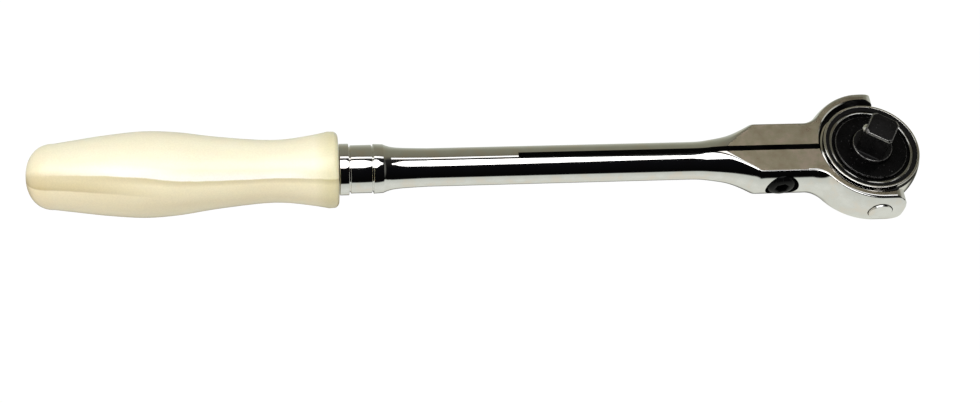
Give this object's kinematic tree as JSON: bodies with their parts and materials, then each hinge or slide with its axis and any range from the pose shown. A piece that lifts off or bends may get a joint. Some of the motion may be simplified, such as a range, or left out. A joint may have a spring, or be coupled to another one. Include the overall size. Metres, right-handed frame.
{
  "type": "swivel head ratchet",
  "caption": "Hand ratchet with a turned pearl grip, chromed shank and slit fork that holds a swivelling round head with a square drive.",
  "frame": {"origin": "middle of the tool's bounding box at its underside", "axes": "+X along the shank from grip to head, +Y across the fork along the pivot pins, +Z out of the fork's flat top, the way the drive square points at rest"},
  "size_m": [0.2946, 0.0446, 0.0318],
  "materials": {
    "pearl_plastic": "pearl, glossy",
    "chrome": "polished; the fork's flats are satin",
    "black_steel": "black oxide",
    "steel": "plain",
    "rubber": "matt"
  },
  "bodies": {
    "shank": {"handle_grip": "pearl_plastic", "shank_fork": "chrome", "pivot_pin_near": "chrome", "pivot_pin_far": "chrome", "pivot_washer_near": "steel", "pivot_washer_far": "steel"},
    "screw": {"clamp_screw": "black_steel"},
    "head": {"head_housing": "chrome", "cover_plate": "black_steel", "hub_seal": "rubber", "retaining_ring": "chrome", "thrust_washer": "steel"},
    "drive": {"drive_gear": "black_steel", "detent_spring": "steel"},
    "ball": {"detent_ball": "chrome"},
    "lever": {"reverse_lever": "black_steel", "lever_clip": "steel", "selector_ball": "steel", "selector_spring": "steel"},
    "pawl": {"pawl": "steel"}
  },
  "joints": [
    {"name": "head_tilt", "type": "hinge", "parent": "shank", "child": "head", "pos_m": [0.12965, 0, 0.01382], "axis": [0, 1, 0], "range_deg": [-50, 230]},
    {"name": "clamp_turn", "type": "hinge", "parent": "shank", "child": "screw", "pos_m": [0.09775, 0, 0.01382], "axis": [0, -1, 0], "range_deg": [-45, 45]},
    {"name": "drive_spin", "type": "hinge", "parent": "head", "child": "drive", "pos_m": [0.12965, 0, 0.01382], "axis": [0, 0, 1], "continuous": true},
    {"name": "detent_press", "type": "slide", "parent": "drive", "child": "ball", "axis": [0.848, -0.5299, 0], "range_m": [0, 0.0009], "stiffness_N_per_m": 800, "springref_m": -0.001},
    {"name": "lever_throw", "type": "hinge", "parent": "head", "child": "lever", "pos_m": [0.11645, 0, 0.01382], "axis": [0, 0, 1], "range_deg": [0, 60]},
    {"name": "pawl_rock", "type": "hinge", "parent": "head", "child": "pawl", "pos_m": [0.11645, 0, 0.01382], "axis": [0, 0, 1], "range_deg": [-8, 0]}
  ],
  "couplings": [
    {"joint": "pawl_rock", "follows": "lever_throw", "ratio": -0.1333}
  ]
}
